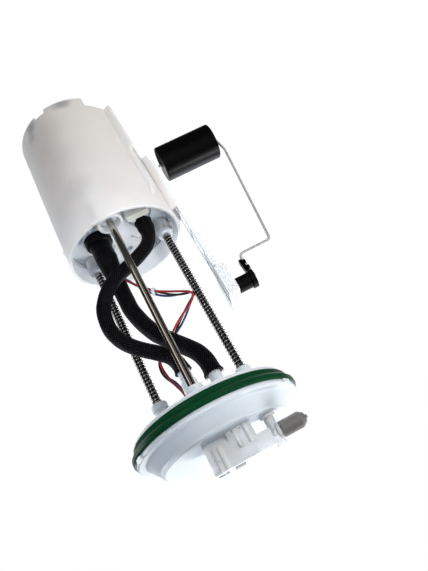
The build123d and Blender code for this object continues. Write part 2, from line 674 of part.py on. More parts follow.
def sender_hub():
    # turning hub whose lever grips the crank of the float wire
    x_in, x_out = -rail_face - 6.7, pivot[0] - 9.0
    hub = along_x(x_out, x_in, pivot[1], pivot[2], 7.0)
    hub += along_x(x_out, x_out + 4, pivot[1], pivot[2], 8.4)
    hub += arm_plate(x_out + 1.6, 13, (3.2, 5.4, 24))
    for distance in (13, 21):
        hub += arm_plate(x_out, distance, (4.4, 6.4, 3.2))
    return hub - float_wire()


def arm_plate(x, distance, size):
    # a box whose long side follows the arm, centred at this distance from the pivot
    return Plane(origin=on_arm(x, distance), x_dir=(1, 0, 0), z_dir=arm_direction) * Box(*size)


def wiper():
    # spring contact that rides on the card's track
    x = -rail_face - 4.6
    arm = arm_plate(x, wiper_reach / 2, (0.5, 3.4, wiper_reach))
    return arm - along_x(x - 3, x + 3, pivot[1], pivot[2], 4.6)


def float_wire():
    # one bent steel wire: pin in the hub, crank, long arm, and the axle through the float
    crank_x = pivot[0] - 9.0 - float_wire_radius - 0.02
    outer_x = float_centre[0] - float_length / 2 - 3.4
    inner_x = float_centre[0] + float_length / 2 + 9.0
    reach = arm_reach.length
    points = [(-rail_face - 1.8, pivot[1], pivot[2]), (crank_x, pivot[1], pivot[2]), on_arm(crank_x, crank_reach),
              on_arm(crank_x - crank_step, crank_reach), on_arm(outer_x, reach - 26), on_arm(outer_x, reach),
              (inner_x, float_centre[1], float_centre[2])]
    path = FilletPolyline(*[Vector(*p) for p in points], radius=[4.0, 5.0, 5.0, 24.0, 2.8])
    section = Plane(origin=path @ 0, z_dir=path % 0) * Circle(float_wire_radius)
    return sweep(section, path=path)


def float_body():
    # moulded foam float, round with softened ends, bored for the wire
    x_low, x_high = float_centre[0] - float_length / 2, float_centre[0] + float_length / 2
    body = along_x(x_low, x_high, float_centre[1], float_centre[2], float_radius)
    body = fillet(body.edges(), 1.6)
    body -= along_x(x_low - 1, x_high + 1, float_centre[1], float_centre[2], float_wire_radius + wire_play)
    return body


def float_clip():
    # push-on washer that keeps the float on its wire
    x = float_centre[0] + float_length / 2 + 0.4
    return along_x(x, x + 1.2, float_centre[1], float_centre[2], 4.0, float_wire_radius)


lead_offsets = {"wire_red": -2.4, "wire_black": 0.0, "wire_blue": 2.4}

parts = {
    "flange_cover": flange_cover(),
    "seal_ring": seal_ring(),
    "rod_sockets": rod_sockets(),
    "guide_rod_front": guide_rod("front"),
    "guide_rod_left": guide_rod("left"),
    "guide_rod_right": guide_rod("right"),
    "rod_clips": rod_clips(),
    "spring_left": spring("left"),
    "spring_right": spring("right"),
    "connector_shroud": connector_shroud(),
    "terminal_pins": terminal_pins(),
    "outlet_elbow": outlet_elbow(),
    "outlet_cap": outlet_cap(),
    "lead_grommet": lead_grommet(),
    "reservoir_can": reservoir_can(),
    "guide_sleeves": guide_sleeves(),
    "pump_retainer": pump_retainer(),
    "pump_shell": pump_shell(),
    "pump_end_bell": pump_end_bell(),
    "pump_inlet_bell": pump_inlet_bell(),
    "pump_magnets": pump_magnets(),
    "pump_bushes": pump_bushes(),
    "brush_pair": brush_pair(),
    "motor_shaft": motor_shaft(),
    "armature": armature(),
    "commutator": commutator(),
    "impeller": impeller(),
    "check_poppet": check_poppet(),
    "check_spring": check_spring(),
    "check_spring_seat": check_spring_seat(),
    "pump_isolator": pump_isolator(),
    "pump_cradle": pump_cradle(),
    "inlet_strainer": inlet_strainer(),
    "umbrella_valve": umbrella_valve(),
    "jet_pump": jet_pump(),
    "regulator_body": regulator_body(),
    "regulator_tail": regulator_tail(),
    "regulator_clip": regulator_clip(),
    "supply_coupling": supply_coupling(),
    "pump_terminals": pump_terminals(),
    "supply_hose": supply_hose(),
    "return_hose": return_hose(),
    "wire_tie": wire_tie(),
    "sender_bracket": sender_bracket(),
    "sender_housing": sender_housing(),
    "resistor_card": resistor_card(),
    "sender_hub": sender_hub(),
    "wiper": wiper(),
    "float_wire": float_wire(),
    "float_body": float_body(),
    "float_clip": float_clip(),
}
for lead, lead_offset in lead_offsets.items():
    parts[lead] = lead_wire(lead_offset)

os.makedirs("parts", exist_ok=True)
for node, solid in parts.items():
    export_step(solid, f"parts/{node}.step")
print(len(parts), "nodes written")
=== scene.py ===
import bpy
import json
from math import cos, radians, sin, tau
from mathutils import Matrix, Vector


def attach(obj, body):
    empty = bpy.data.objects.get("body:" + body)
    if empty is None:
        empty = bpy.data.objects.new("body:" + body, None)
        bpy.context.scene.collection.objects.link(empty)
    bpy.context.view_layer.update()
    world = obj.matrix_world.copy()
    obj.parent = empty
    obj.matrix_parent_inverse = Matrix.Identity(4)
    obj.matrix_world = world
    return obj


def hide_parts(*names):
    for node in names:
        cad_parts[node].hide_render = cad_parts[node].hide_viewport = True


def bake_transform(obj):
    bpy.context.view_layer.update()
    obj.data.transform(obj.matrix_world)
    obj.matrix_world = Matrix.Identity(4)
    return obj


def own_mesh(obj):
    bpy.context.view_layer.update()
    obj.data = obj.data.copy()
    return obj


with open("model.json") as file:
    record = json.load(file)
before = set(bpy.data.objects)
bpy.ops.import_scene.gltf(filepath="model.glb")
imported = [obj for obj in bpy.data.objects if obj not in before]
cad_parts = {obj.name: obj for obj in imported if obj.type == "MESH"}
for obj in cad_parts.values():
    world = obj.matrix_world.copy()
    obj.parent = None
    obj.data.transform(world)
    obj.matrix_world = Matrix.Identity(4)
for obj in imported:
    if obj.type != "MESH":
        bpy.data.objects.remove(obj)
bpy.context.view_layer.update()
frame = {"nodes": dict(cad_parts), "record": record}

cadNodes = frame["nodes"]
print("pump module: CAD frame loaded,", len(cadNodes), "nodes")

mm = 0.001

# place in metres, turn in degrees about X, Y and Z
cameraView = {"place": (0.0, -0.3851, 0.1025), "turn": (-57.791, -26.523, 171.818), "lens": 44.10,
              "sensor": 36.0, "nearest": 0.01, "farthest": 20.0}


def aimCamera():
    camData = bpy.data.cameras.new("benchCamera")
    camData.lens = cameraView["lens"]
    camData.sensor_width = cameraView["sensor"]
    camData.sensor_fit = "HORIZONTAL"
    camData.clip_start = cameraView["nearest"]
    camData.clip_end = cameraView["farthest"]
    cam = bpy.data.objects.new("benchCamera", camData)
    bpy.context.scene.collection.objects.link(cam)
    cam.location = cameraView["place"]
    cam.rotation_euler = [radians(angle) for angle in cameraView["turn"]]
    bpy.context.scene.camera = cam


aimCamera()


# meshes
def meshObject(name, verts, faces, smooth=True):
    mesh = bpy.data.meshes.new(name)
    mesh.from_pydata([tuple(v) for v in verts], [], faces)
    mesh.validate()
    if smooth:
        mesh.polygons.foreach_set("use_smooth", [True] * len(mesh.polygons))
    obj = bpy.data.objects.new(name, mesh)
    bpy.context.scene.collection.objects.link(obj)
    return obj


def routeLine(points, steps):
    # smooth line of a hose or lead: a NURBS spline whose control points are the route, in mm
    curve = bpy.data.curves.new("route", "CURVE")
    curve.dimensions = "3D"
    curve.resolution_u = steps
    spline = curve.splines.new("NURBS")
    spline.points.add(len(points) - 1)
    for knot, place in zip(spline.points, points):
        knot.co = (place[0] * mm, place[1] * mm, place[2] * mm, 1.0)
    spline.order_u = 3
    spline.use_endpoint_u = True
    holder = bpy.data.objects.new("route", curve)
    bpy.context.scene.collection.objects.link(holder)
    bpy.context.view_layer.update()
    mesh = bpy.data.meshes.new_from_object(holder)
    line = [v.co.copy() for v in mesh.vertices]
    bpy.data.objects.remove(holder)
    bpy.data.meshes.remove(mesh)
    return line


def evenLine(line, spacing):
    # the same line with stations at even distances, and its length
    lengths = [0.0]
    for a, b in zip(line, line[1:]):
        lengths.append(lengths[-1] + (b - a).length)
    total = lengths[-1]
    count = max(8, round(total / spacing))
    stations, k = [], 0
    for i in range(count + 1):
        s = total * i / count
        while k < len(line) - 2 and lengths[k + 1] < s:
            k += 1
        share = (s - lengths[k]) / max(lengths[k + 1] - lengths[k], 1e-9)
        stations.append(line[k].lerp(line[k + 1], share))
    return stations, total


def sideDirections(stations):
    # two side directions at each station, carried along without twist
    pairs = []
    side = None
    for i in range(len(stations)):
        ahead = stations[min(i + 1, len(stations) - 1)]
        behind = stations[max(i - 1, 0)]
        along = (ahead - behind).normalized()
        if side is None:
            side = along.cross(Vector((0.3, 1, 0.1))).normalized()
        side = (side - along * side.dot(along)).normalized()
        pairs.append((side, along.cross(side)))
    return pairs


def tubeMesh(name, stations, radiusAt, around):
    # closed tube; radiusAt(share along, angle, distance) works in mm
    verts, faces, layout = [], [], []
    distance = 0.0
    for i, (side, other) in enumerate(sideDirections(stations)):
        here = stations[i]
        if i:
            distance += (here - stations[i - 1]).length
        for j in range(around):
            angle = tau * j / around
            r = radiusAt(i / (len(stations) - 1), angle, distance / mm) * mm
            verts.append(here + side * (r * cos(angle)) + other * (r * sin(angle)))
            layout.append((j / around, distance))
    last = len(verts) - around
    for row in range(0, last, around):
        for j in range(around):
            k = (j + 1) % around
            faces.append((row + j, row + k, row + around + k, row + around + j))
    faces.append(tuple(reversed(range(around))))
    faces.append(tuple(range(last, last + around)))
    obj = meshObject(name, verts, faces)
    layer = obj.data.uv_layers.new(name="lay")
    for poly in obj.data.polygons:
        closing = len(poly.vertices) == 4 and max(vi % around for vi in poly.vertices) == around - 1
        for li, vi in zip(poly.loop_indices, poly.vertices):
            u, v = layout[vi]
            if closing and u == 0.0:
                u = 1.0
            layer.data[li].uv = (u, v)
    return obj


def waveHeight(waves, angle, distance=0.0):
    # each wave is (height in mm, folds round the tube, turn per mm, turn at the start)
    total = 0.0
    for height, folds, turn, start in waves:
        total += height * sin(folds * angle + turn * distance + start)
    return total


# materials
class Board:
    # short way to lay out the nodes of a material or a world
    def __init__(self, owner):
        owner.use_nodes = True
        self.owner = owner
        self.nodes = owner.node_tree.nodes
        self.links = owner.node_tree.links

    def feed(self, socket, value):
        # a socket is linked, anything else is a plain value
        if isinstance(value, bpy.types.NodeSocket):
            self.links.new(value, socket)
        else:
            socket.default_value = value

    def add(self, kind, inputs, **settings):
        node = self.nodes.new(kind)
        for key, value in settings.items():
            setattr(node, key, value)
        for key, value in inputs.items():
            self.feed(node.inputs[key], value)
        return node

    def maths(self, operation, *values):
        return self.add("ShaderNodeMath", dict(enumerate(values)), operation=operation).outputs[0]

    def mixColour(self, share, first, second):
        return self.add("ShaderNodeMix", {0: share, 6: first, 7: second}, data_type="RGBA").outputs[2]


class Paint(Board):
    # a material with one principled shader, placed in the object's own space
    def __init__(self, name, stretch=(1, 1, 1)):
        super().__init__(bpy.data.materials.new(name))
        self.shader = self.nodes["Principled BSDF"]
        coords = self.add("ShaderNodeTexCoord", {})
        mapping = self.add("ShaderNodeMapping", {"Vector": coords.outputs["Object"], "Scale": stretch})
        self.place = mapping.outputs["Vector"]

    def set(self, inputs):
        for key, value in inputs.items():
            self.feed(self.shader.inputs[key], value)

    def noise(self, scale, detail=3.0, rough=0.5):
        inputs = {"Vector": self.place, "Scale": scale, "Detail": detail, "Roughness": rough}
        return self.add("ShaderNodeTexNoise", inputs).outputs["Fac"]

    def ramp(self, source, low, high):
        node = self.add("ShaderNodeMapRange", {"Value": source, "To Min": low, "To Max": high})
        return node.outputs["Result"]

    def paintShade(self, colour, centre, size, depth, tint):
        # painted shade: soft darkening round a point, in mm, at its full depth in the inner fifth
        centre = [v * mm for v in centre]
        edge, core = size * mm, size * mm / 5
        gap = self.add("ShaderNodeVectorMath", {0: self.place, 1: centre}, operation="DISTANCE")
        inputs = {"Value": gap.outputs["Value"], "From Min": edge, "From Max": core, "To Max": depth}
        fade = self.add("ShaderNodeMapRange", inputs, interpolation_type="SMOOTHSTEP")
        return self.mixColour(fade.outputs["Result"], colour, (*tint, 1))

    def bump(self, source, strength, depth):
        node = self.add("ShaderNodeBump", {"Height": source, "Strength": strength, "Distance": depth})
        self.set({"Normal": node.outputs["Normal"]})


# milky moulded plastics: through is the share scattered inside, clear the share let straight through
clearLooks = {"rough": (0.34, 0.50), "pores": 900, "bump": 0.05, "bumpDepth": 0.0002, "shine": 0.4,
              "glow": 0.008, "spread": (0.9, 1.0, 1.1)}
paintedShadowTone, paintedSideShadeTone = (0.16, 0.18, 0.23), (0.40, 0.335, 0.315)
# painted shade on the reservoir: grey painted shadows where the pump and the parts at the foot lie inside
# it, and brownish painted shade darkening the +X side; centre in mm, size, depth, tint
paintedShadeMarks = [((-8.7, -52.2, -331), 10, 0.55, paintedShadowTone), ((-1.5, -52.5, -331), 8, 0.35, paintedShadowTone),
             ((31.0, -43.0, -329), 10, 0.60, paintedShadowTone), ((34.0, -40.5, -319), 9, 0.35, paintedShadowTone),
             ((13.4, -51.2, -225), 20, 0.14, paintedShadowTone), ((28.0, -45.0, -305), 36, 0.30, paintedSideShadeTone),
             ((31.0, -43.0, -270), 36, 0.32, paintedSideShadeTone), ((35.0, -39.7, -235), 34, 0.32, paintedSideShadeTone),
             ((40.0, -34.5, -205), 28, 0.20, paintedSideShadeTone)]
clearPlastics = {
    "milkyPlastic": {"dark": (0.62, 0.685, 0.755), "light": (0.70, 0.76, 0.82),
                     "through": 0.40, "clear": 0.10, "grain": 40},
    "socketPlastic": {"dark": (0.72, 0.755, 0.795), "light": (0.80, 0.825, 0.855),
                      "through": 0.45, "clear": 0.35, "grain": 50, "polish": 0.7},
    "reservoirPlastic": {"dark": (0.79, 0.77, 0.755), "light": (0.86, 0.845, 0.835),
                         "through": 0.90, "clear": 0.15, "grain": 24, "marks": paintedShadeMarks},
    "bracketPlastic": {"dark": (0.74, 0.77, 0.80), "light": (0.80, 0.83, 0.86),
                       "through": 0.30, "clear": 0.0, "grain": 40, "polish": 1.7},
    # painted shade: the parts inside the reservoir are tinted blue to stand for the shade they sit in
    "retainerPlastic": {"dark": (0.76, 0.82, 0.92), "light": (0.84, 0.89, 0.97),
                        "through": 0.90, "clear": 0.25, "grain": 40},
    "creamPlastic": {"dark": (0.72, 0.69, 0.58), "light": (0.82, 0.79, 0.69),
                     "through": 0.2, "clear": 0.05, "grain": 90},
}


def clearPlastic(name, dark, light, through, clear, grain, polish=1.0, marks=()):
    paint = Paint(name)
    colour = paint.mixColour(paint.noise(grain, 4.0, 0.55), (*dark, 1), (*light, 1))
    # painted shadows and painted shade laid over the plastic's colour
    for mark in marks:
        colour = paint.paintShade(colour, *mark)
    low, high = clearLooks["rough"]
    rough = paint.ramp(paint.noise(grain * 3), low * polish, high * polish)
    paint.set({
        "Base Color": colour, "Roughness": rough, "IOR": 1.5,
        "Specular IOR Level": clearLooks["shine"], "Transmission Weight": clear,
        "Subsurface Weight": through, "Subsurface Radius": clearLooks["spread"],
        "Subsurface Scale": clearLooks["glow"],
    })
    paint.bump(paint.noise(clearLooks["pores"], 2.0), clearLooks["bump"], clearLooks["bumpDepth"])
    return paint.owner


# rubber, foam, card and filled plastics
plainLooks = {"pores": 700, "bumpDepth": 0.0002}
plainPlastics = {
    "greenSealRubber": {"dark": (0.0002, 0.030, 0.010), "light": (0.0008, 0.050, 0.017),
                        "rough": (0.30, 0.42), "grain": 60, "bump": 0.10, "shine": 0.10},
    "blackPlastic": {"dark": (0.001, 0.001, 0.0014), "light": (0.003, 0.003, 0.0038),
                     "rough": (0.30, 0.44), "shine": 0.09},
    "softRubber": {"dark": (0.002, 0.002, 0.002), "light": (0.006, 0.006, 0.0058),
                   "rough": (0.55, 0.75), "shine": 0.08},
    "greyCapPlastic": {"dark": (0.13, 0.127, 0.125), "light": (0.18, 0.175, 0.172),
                       "rough": (0.26, 0.36), "grain": 120, "bump": 0.10, "shine": 0.6},
    "floatFoam": {"dark": (0.0008, 0.0008, 0.001), "light": (0.002, 0.002, 0.0026),
                  "rough": (0.26, 0.36), "grain": 90, "bump": 0.2, "shine": 0.09},
    "wireZinc": {"dark": (0.30, 0.30, 0.31), "light": (0.44, 0.44, 0.45),
                 "rough": (0.25, 0.35), "grain": 200, "bump": 0.03, "shine": 0.8},
    "ferrite": {"dark": (0.05, 0.05, 0.055), "light": (0.09, 0.09, 0.095), "rough": (0.6, 0.8)},
    "ceramicCard": {"dark": (0.74, 0.74, 0.70), "light": (0.84, 0.84, 0.80), "rough": (0.4, 0.55)},
    "strainerWeave": {"dark": (0.62, 0.61, 0.54), "light": (0.78, 0.77, 0.70),
                      "rough": (0.6, 0.8), "grain": 900, "bump": 0.4},
    "leadRed": {"dark": (0.26, 0.008, 0.012), "light": (0.38, 0.016, 0.022),
                "rough": (0.28, 0.4), "grain": 400, "bump": 0.05, "shine": 0.4},
    "leadBlack": {"dark": (0.004, 0.004, 0.005), "light": (0.010, 0.010, 0.012),
                  "rough": (0.28, 0.4), "grain": 400, "bump": 0.05, "shine": 0.4},
    "leadBlue": {"dark": (0.008, 0.018, 0.11), "light": (0.018, 0.038, 0.20),
                 "rough": (0.28, 0.4), "grain": 400, "bump": 0.05, "shine": 0.4},
}


def plainPlastic(name, dark, light, rough, grain=80, bump=0.08, shine=0.5):
    paint = Paint(name)
    paint.set({
        "Base Color": paint.mixColour(paint.noise(grain, 4.0), (*dark, 1), (*light, 1)),
        "Roughness": paint.ramp(paint.noise(grain * 2.5), *rough), "Specular IOR Level": shine,
    })
    paint.bump(paint.noise(plainLooks["pores"], 2.0), bump, plainLooks["bumpDepth"])
    return paint.owner


# metals; stretch draws the streaks out along the axis with the smallest number
metals = {
    "groundSteel": {"dark": (0.40, 0.37, 0.335), "light": (0.46, 0.43, 0.395), "rough": (0.08, 0.13),
                    "stretch": (1, 1, 0.02), "grain": 500, "bump": 0.01},
    # painted shade: the guide rods are the same ground steel, darkened to stand for the shade inside the
    # springs
    "oiledSteel": {"dark": (0.06, 0.056, 0.053), "light": (0.10, 0.095, 0.09), "rough": (0.14, 0.22),
                   "stretch": (1, 1, 0.02), "grain": 500, "bump": 0.02},
    "springSteel": {"dark": (0.44, 0.43, 0.42), "light": (0.60, 0.59, 0.58), "rough": (0.06, 0.13),
                    "stretch": (1, 1, 1), "grain": 700, "bump": 0.01},
    "zincSteel": {"dark": (0.46, 0.47, 0.48), "light": (0.60, 0.61, 0.62), "rough": (0.28, 0.42),
                  "stretch": (1, 1, 0.1), "grain": 200, "bump": 0.05},
    "rotorSteel": {"dark": (0.26, 0.26, 0.27), "light": (0.36, 0.36, 0.37), "rough": (0.38, 0.55),
                   "stretch": (1, 1, 20), "grain": 120, "bump": 0.05},
    "contactBrass": {"dark": (0.62, 0.46, 0.20), "light": (0.76, 0.60, 0.30), "rough": (0.22, 0.36),
                     "stretch": (1, 1, 1), "grain": 300, "bump": 0.05},
}


def bareMetal(name, dark, light, rough, stretch, grain, bump):
    paint = Paint(name, stretch)
    streak = paint.noise(grain, 3.0, 0.6)
    paint.set({"Base Color": paint.mixColour(streak, (*dark, 1), (*light, 1)),
               "Roughness": paint.ramp(streak, *rough), "Metallic": 1.0})
    paint.bump(streak, bump, 0.0001)
    return paint.owner


# woven sleeves of the hoses, with painted highlights where the yarns cross; the pitch is in metres
braidLooks = {"gap": (0.0002, 0.0002, 0.0003), "yarnGlint": (0.070, 0.067, 0.088), "sharpness": 2.6,
              "glintScatter": 240, "rough": 0.44, "shine": 0.05, "bump": 0.5, "bumpDepth": 0.0004}
braids = {"supplyBraid": {"picks": 24, "pitch": 0.0029}, "returnBraid": {"picks": 21, "pitch": 0.0028}}


def braidPaint(name, picks, pitch):
    # two families of yarns cross round the hose, and the colour is lifted to a painted highlight where
    # both lie high
    paint = Paint(name)
    lay = paint.add("ShaderNodeUVMap", {}, uv_map="lay")
    split = paint.add("ShaderNodeSeparateXYZ", {"Vector": lay.outputs["UV"]})

    def yarns(direction):
        turns = paint.maths("MULTIPLY", split.outputs["X"], picks * tau)
        climb = paint.maths("MULTIPLY", split.outputs["Y"], direction * tau / pitch)
        wave = paint.maths("SINE", paint.maths("ADD", turns, climb))
        return paint.maths("MULTIPLY_ADD", wave, 0.5, 0.5)

    weave = paint.maths("MULTIPLY", yarns(1), yarns(-1))
    sharp = paint.maths("POWER", weave, braidLooks["sharpness"])
    shade = paint.maths("MULTIPLY", sharp, paint.noise(braidLooks["glintScatter"], 3.0))
    paint.set({"Base Color": paint.mixColour(shade, (*braidLooks["gap"], 1), (*braidLooks["yarnGlint"], 1)),
               "Roughness": braidLooks["rough"], "Specular IOR Level": braidLooks["shine"]})
    paint.bump(weave, braidLooks["bump"], braidLooks["bumpDepth"])
    return paint.owner


paints = {}
for makePaint, looks in ((clearPlastic, clearPlastics), (plainPlastic, plainPlastics),
                         (bareMetal, metals), (braidPaint, braids)):
    for paintName, look in looks.items():
        paints[paintName] = makePaint(paintName, **look)

# paint for each slot of the record, and for the nodes that differ from their slot
slotPaint = {
    "clear_white_plastic": "milkyPlastic", "seal_rubber": "greenSealRubber", "ground_steel": "groundSteel",
    "spring_steel": "springSteel", "zinc_steel": "zincSteel", "black_plastic": "blackPlastic",
    "hose_braid": "supplyBraid", "cream_plastic": "creamPlastic", "grey_plastic": "greyCapPlastic",
    "float_foam": "floatFoam", "lead_red": "leadRed", "lead_black": "leadBlack", "lead_blue": "leadBlue",
    "contact_brass": "contactBrass", "magnet_ferrite": "ferrite", "rotor_steel": "rotorSteel",
    "soft_rubber": "softRubber", "strainer_weave": "strainerWeave", "ceramic": "ceramicCard",
}
nodePaint = {
    "reservoir_can": "reservoirPlastic",
    "connector_shroud": "socketPlastic", "outlet_elbow": "socketPlastic",
    # the parts inside the reservoir take the blue painted-shade plastic
    "pump_retainer": "retainerPlastic", "guide_sleeves": "retainerPlastic",
    "pump_terminals": "retainerPlastic",
    # painted shade: the guide rods inside the springs take a darkened copy of the ground steel
    "guide_rod_left": "oiledSteel", "guide_rod_right": "oiledSteel",
    "sender_bracket": "bracketPlastic", "sender_housing": "bracketPlastic",
    "float_wire": "wireZinc",
}
sharpEdge = 0.6  # radians


def paintCad():
    slots = {part["node"]: part["material_slot"] for part in frame["record"]["subparts"]}
    for name, node in cadNodes.items():
        node.data.materials.clear()
        node.data.materials.append(paints[nodePaint.get(name, slotPaint[slots[name]])])
        node.data.polygons.foreach_set("use_smooth", [True] * len(node.data.polygons))
        node.data.set_sharp_from_angle(angle=sharpEdge)


paintCad()
print("pump module: materials laid on the CAD nodes")

# hoses, in mm
supplyHose = {
    "route": [(20.0, -8.0, -176.0), (20.0, -8.0, -163.0), (20.5, -4.0, -141.0), (20.0, 0.0, -118.0),
              (12.0, 1.0, -95.0), (0.0, 0.0, -78.0), (-11.0, -3.0, -63.5), (-16.0, -5.0, -50.0),
              (-16.0, -5.0, -38.0)],
    "diameter": 14.6, "node": "supply_hose", "paint": "supplyBraid",
    "ribPitch": 3.1, "flareLow": 2.6, "lowRun": 34.0,
}
returnHose = {
    "route": [(-23.0, -12.0, -185.0), (-23.0, -12.0, -176.0), (-15.0, -14.5, -163.0),
              (3.0, -18.6, -152.5), (23.0, -21.0, -144.0), (38.0, -21.5, -127.5), (42.0, -21.5, -105.0),
              (34.0, -21.0, -84.0), (17.5, -19.5, -70.0), (4.0, -18.0, -57.0), (4.0, -18.0, -45.0)],
    "diameter": 12.4, "node": "return_hose", "paint": "returnBraid",
    "ribPitch": 2.7, "flareLow": 1.7, "lowRun": 12.0, "lap": 7.0,
}
# what both sleeves share: slim is how far the surface lies inside the full size, held is the length at
# each end that stays with its own body, and slack is a list of waves
sleeve = {"steps": 14, "spacing": 0.55, "around": 40, "slim": 0.25, "rib": 0.04,
          "flareHigh": 1.0, "highRun": 6.0, "heldLow": 8, "heldHigh": 6,
          "slack": [(0.12, 3, 0.19, 0.0), (0.07, 5, -0.41, 0.0)]}
cuff = {"run": 5.0, "rows": 24, "over": 0.15,
        "slack": [(0.12, 3, 0.0, 1.0), (0.08, 7, 0.0, -2.0)]}
# the scatter numbers feed a sine, so that the yarns differ without a random draw
frayedEnd = {"strands": 46, "rows": 4, "reach": 3.6, "shortest": 0.45, "thick": 0.28, "taper": 0.6,
             "spread": 1.1, "twist": 0.16, "inside": 0.3, "sunk": 0.8,
             "reachScatter": 2.3, "leanScatter": 5.1, "twistScatter": 3.7}


def makeHose(name, hose):
    stations, total = evenLine(routeLine(hose["route"], sleeve["steps"]), sleeve["spacing"] * mm)

    def radiusAt(share, angle, distance):
        rib = sleeve["rib"] * sin(tau * distance / hose["ribPitch"])
        low = max(0.0, 1 - distance / hose["lowRun"]) ** 1.5 * hose["flareLow"]
        high = max(0.0, 1 - (total / mm - distance) / sleeve["highRun"]) ** 2 * sleeve["flareHigh"]
        slack = waveHeight(sleeve["slack"], angle, distance)
        return hose["diameter"] / 2 - sleeve["slim"] + rib + slack + low + high

    obj = tubeMesh(name, stations, radiusAt, sleeve["around"])
    obj.data.materials.append(paints[hose["paint"]])
    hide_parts(hose["node"])
    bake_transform(obj)


def lapCuff(name, hose, body):
    # end of the woven sleeve, pushed down over the stub it is clipped to
    x, y, z = hose["route"][0]
    start = z - hose["lap"]
    run = hose["lap"] + cuff["run"]
    rows = cuff["rows"]
    stations = [Vector((x, y, start + run * i / rows)) * mm for i in range(rows + 1)]

    def radiusAt(share, angle, distance):
        flare = hose["flareLow"] * (1 - share) ** 1.3
        return hose["diameter"] / 2 + cuff["over"] + flare + waveHeight(cuff["slack"], angle)

    obj = tubeMesh(name, stations, radiusAt, sleeve["around"])
    obj.data.materials.append(paints[hose["paint"]])
    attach(obj, body)


def frayHose(name, hose, place, way, rim, body):
    # loose yarns where the woven sleeve was cut: way is 1 up or -1 down, rim is how far it flares
    verts, faces = [], []
    rows = frayedEnd["rows"]
    for i in range(frayedEnd["strands"]):
        shortest = frayedEnd["shortest"]
        longer = abs(sin(i * frayedEnd["reachScatter"] + 0.7))
        reach = frayedEnd["reach"] * (shortest + (1 - shortest) * longer)
        lean = frayedEnd["spread"] * sin(i * frayedEnd["leanScatter"])
        turn = frayedEnd["twist"] * sin(i * frayedEnd["twistScatter"])
        for k in range(rows + 1):
            share = k / rows
            angle = tau * i / frayedEnd["strands"] + turn * share
            r = hose["diameter"] / 2 - frayedEnd["inside"] + rim + lean * share ** 1.6
            half = frayedEnd["thick"] / 2 * (1 - frayedEnd["taper"] * share)
            rise = way * (reach * share - frayedEnd["sunk"])
            centre = Vector((place[0] + r * cos(angle), place[1] + r * sin(angle), place[2] + rise))
            out = Vector((cos(angle), sin(angle), 0)) * half
            across = Vector((-sin(angle), cos(angle), 0)) * half
            verts += [(centre + step) * mm for step in (out, across, -out, -across)]
            if k:
                base = len(verts) - 8
                for j in range(4):
                    n = (j + 1) % 4
                    faces.append((base + j, base + n, base + 4 + n, base + 4 + j))
        faces.append(tuple(len(verts) - 4 + j for j in range(4)))
    obj = meshObject(name, verts, faces)
    obj.data.materials.append(paints["softRubber"])
    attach(obj, body)


def layHoses():
    makeHose("supplyHoseBraid", supplyHose)
    makeHose("returnHoseBraid", returnHose)
    lapCuff("returnHoseCuff", returnHose, "reservoir")
    frayHose("supplyHoseYarns", supplyHose, supplyHose["route"][-1], 1, sleeve["flareHigh"], "flange")
    x, y, z = returnHose["route"][0]
    frayHose("returnHoseYarns", returnHose, (x, y, z - returnHose["lap"]), -1, returnHose["flareLow"],
             "reservoir")


layHoses()
print("pump module: hoses laid")

# leads, in mm: the three run side by side and each wanders a little off the shared route
leadRoute = [(28.0, 7.0, -212.5), (28.0, 7.0, -198.0), (25.0, 12.5, -181.0), (14.0, 13.6, -162.0),
             (2.0, 12.4, -142.5), (-10.0, 10.6, -129.5), (-23.0, 8.2, -120.8), (-35.5, 6.0, -115.4),
             (-26.5, 7.4, -107.4), (-12.0, 10.0, -97.5), (4.0, 12.8, -85.5), (19.0, 13.6, -76.5),
             (19.5, 10.0, -62.5), (14.0, 4.2, -48.0), (10.4, 2.4, -35.0), (10.4, 2.4, -22.0)]
leadLooks = {"steps": 12, "spacing": 0.9, "around": 14, "radius": 0.98, "diameter": 2.0,
             "wander": 1.8, "turn": 1.9}
leads = {
    "redLead": {"node": "wire_red", "slot": "lead_red", "paint": "leadRed",
                "shift": -2.4, "start": 0.0},
    "blackLead": {"node": "wire_black", "slot": "lead_black", "paint": "leadBlack",
                  "shift": 0.0, "start": 2.1},
    "blueLead": {"node": "wire_blue", "slot": "lead_blue", "paint": "leadBlue",
                 "shift": 2.4, "start": 4.2},
}


def makeLead(name, lead):
    route = []
    last = len(leadRoute) - 1
    for i, (x, y, z) in enumerate(leadRoute):
        wander = leadLooks["wander"] if 2 < i < last - 1 else 0.0  # the ends stay in their holes
        angle = i * leadLooks["turn"] + lead["start"]
        route.append((x + wander * cos(angle), y + lead["shift"], z + wander * sin(angle)))
    stations, total = evenLine(routeLine(route, leadLooks["steps"]), leadLooks["spacing"] * mm)
    obj = tubeMesh(name, stations, lambda share, angle, distance: leadLooks["radius"], leadLooks["around"])
    obj.data.materials.append(paints[lead["paint"]])
    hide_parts(lead["node"])
    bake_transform(obj)


for leadName, leadFacts in leads.items():
    makeLead(leadName, leadFacts)
print("pump module: leads laid")

# springs, in mm: two on the guide rods, one over the outlet check valve's stem
rodCircle = 40.5  # radius on which the guide rods stand
wireSides = 8
rodSprings = {
    "leftSpring": {"node": "spring_left", "bearing": 33.0, "low": -186.0, "high": -46.0},
    "rightSpring": {"node": "spring_right", "bearing": 160.0, "low": -186.0, "high": -37.0},
}
rodCoil = {"radius": 3.75, "wire": 1.15, "pitch": 3.25, "deadTurns": 1.6, "stepsPerTurn": 20,
           "travel": 60}
checkCoil = {"centre": (20.0, -8.0), "low": -218.6, "high": -205.6, "radius": 2.3, "wire": 0.7,
             "turns": 4.0, "stepsPerTurn": 28, "travel": 2.0}


